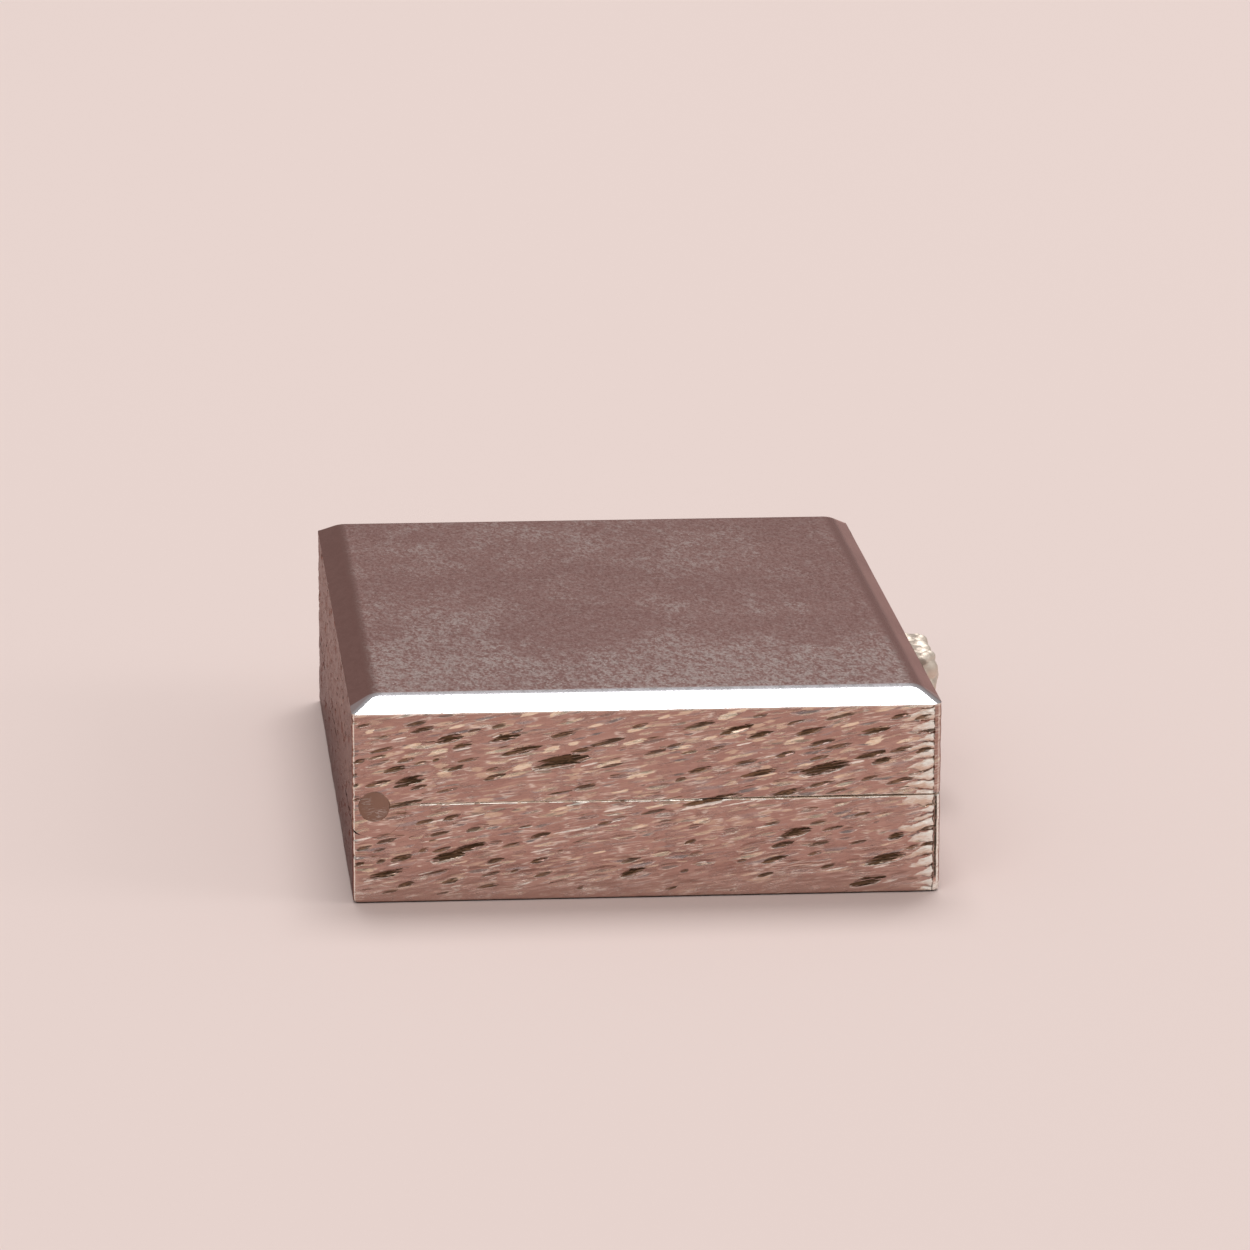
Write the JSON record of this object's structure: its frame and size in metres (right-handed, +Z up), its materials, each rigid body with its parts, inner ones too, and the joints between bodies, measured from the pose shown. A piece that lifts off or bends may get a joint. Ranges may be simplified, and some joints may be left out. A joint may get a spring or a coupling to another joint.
{
  "type": "matchbox holder",
  "caption": "Flat hinged metal case for one small box of matches, with a bevelled lid, a flush pin hinge along one side and a grained thumb piece on the other.",
  "frame": {"origin": "middle of the flat underside of the closed case", "axes": "+Z up through the lid, +Y along the hinge away from the pictured end, +X towards the thumb piece"},
  "size_m": [0.0454, 0.058, 0.0148],
  "materials": {
    "gouged_silver": "aged silver with short cut strokes, dark in their bottoms",
    "satin_silver": "worn satin silver, bevel polished",
    "bright_silver": "bright cast silver",
    "plain_silver": "plain drawn silver"
  },
  "bodies": {
    "base": {"base_back_wall": "gouged_silver", "base_floor": "plain_silver", "base_front_wall": "gouged_silver", "base_hinge_bearer": "plain_silver", "base_hinge_wall": "gouged_silver", "base_knuckle_2": "gouged_silver", "base_knuckle_4": "gouged_silver", "base_thumb_wall": "gouged_silver", "bezel_back_strip": "plain_silver", "bezel_front_strip": "plain_silver", "bezel_thumb_strip": "plain_silver"},
    "lid": {"hinge_pin": "plain_silver", "lid_back_wall": "gouged_silver", "lid_front_wall": "gouged_silver", "lid_hinge_bearer": "plain_silver", "lid_hinge_wall": "gouged_silver", "lid_knuckle_1": "gouged_silver", "lid_knuckle_3": "gouged_silver", "lid_knuckle_5": "gouged_silver", "lid_plate": "satin_silver", "lid_thumb_wall": "gouged_silver", "thumb_piece": "bright_silver"}
  },
  "joints": [
    {"name": "lid_hinge", "type": "hinge", "parent": "base", "child": "lid", "pos_m": [-0.01944, 0, 0.00712], "axis": [0, -1, 0], "range_deg": [0, 95]}
  ]
}
